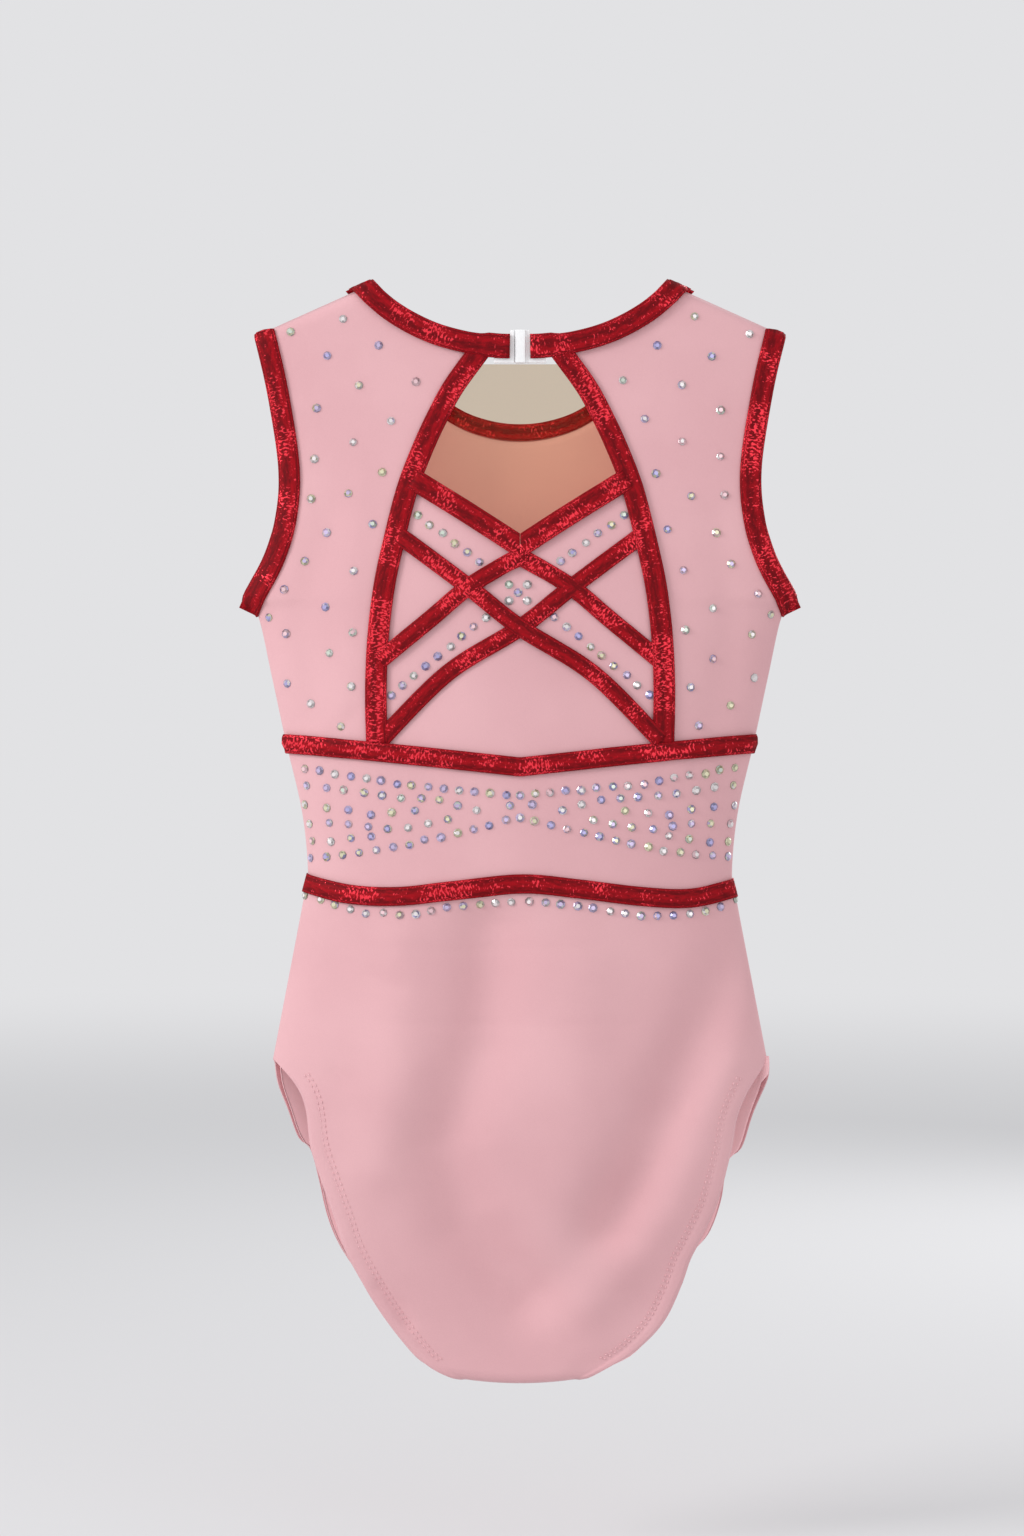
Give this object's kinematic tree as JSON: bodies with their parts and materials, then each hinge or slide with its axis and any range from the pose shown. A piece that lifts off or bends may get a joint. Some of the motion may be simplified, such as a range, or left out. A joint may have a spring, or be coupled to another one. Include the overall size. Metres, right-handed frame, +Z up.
{
  "type": "gymnastics leotard",
  "caption": "Sleeveless child's leotard hanging empty, with a mesh keyhole back, lattice straps, red bindings and a slide clasp at the neck.",
  "frame": {"origin": "on the centre line at the top of the shoulders, midway between front and back", "axes": "+Z up along the hanging garment; -Y faces the viewer of the wearer's back; +X to that viewer's right"},
  "size_m": [0.279, 0.0612, 0.5496],
  "materials": {
    "pink_knit": "matte pink stretch knit",
    "red_foil": "red stretch fabric with rows of foil dots",
    "nude_mesh": "sheer nude stretch mesh",
    "lining_knit": "soft lining knit",
    "elastic": "covered elastic",
    "white_plastic": "moulded white plastic",
    "crystal": "faceted foil-backed crystal with an iridescent coat"
  },
  "bodies": {
    "garment": {"back_panel_left": "pink_knit", "back_panel_right": "pink_knit", "back_centre_panel": "pink_knit", "waist_panel_back": "pink_knit", "seat_panel": "pink_knit", "front_bodice": "pink_knit", "waist_panel_front": "pink_knit", "front_brief": "pink_knit", "keyhole_binding_left": "red_foil", "keyhole_binding_right": "red_foil", "v_trim_left": "red_foil", "v_trim_right": "red_foil", "lattice_strap_1": "red_foil", "lattice_strap_2": "red_foil", "lattice_strap_3": "red_foil", "lattice_strap_4": "red_foil", "waist_trim_upper_back": "red_foil", "waist_trim_lower_back": "red_foil", "waist_trim_upper_front": "red_foil", "waist_trim_lower_front": "red_foil", "neck_binding_left": "red_foil", "neck_binding_right": "red_foil", "front_neck_binding": "red_foil", "armhole_binding_left": "red_foil", "armhole_binding_right": "red_foil", "keyhole_mesh": "nude_mesh", "front_lining": "lining_knit", "gusset_lining": "lining_knit", "leg_elastic_left": "elastic", "leg_elastic_right": "elastic", "clasp_right": "white_plastic"},
    "clasp_half": {"clasp_left": "white_plastic", "neck_binding_left_end": "red_foil"}
  },
  "joints": [
    {"name": "clasp_slide", "type": "slide", "parent": "garment", "child": "clasp_half", "axis": [0, 0, 1], "range_m": [0, 0.018]}
  ]
}
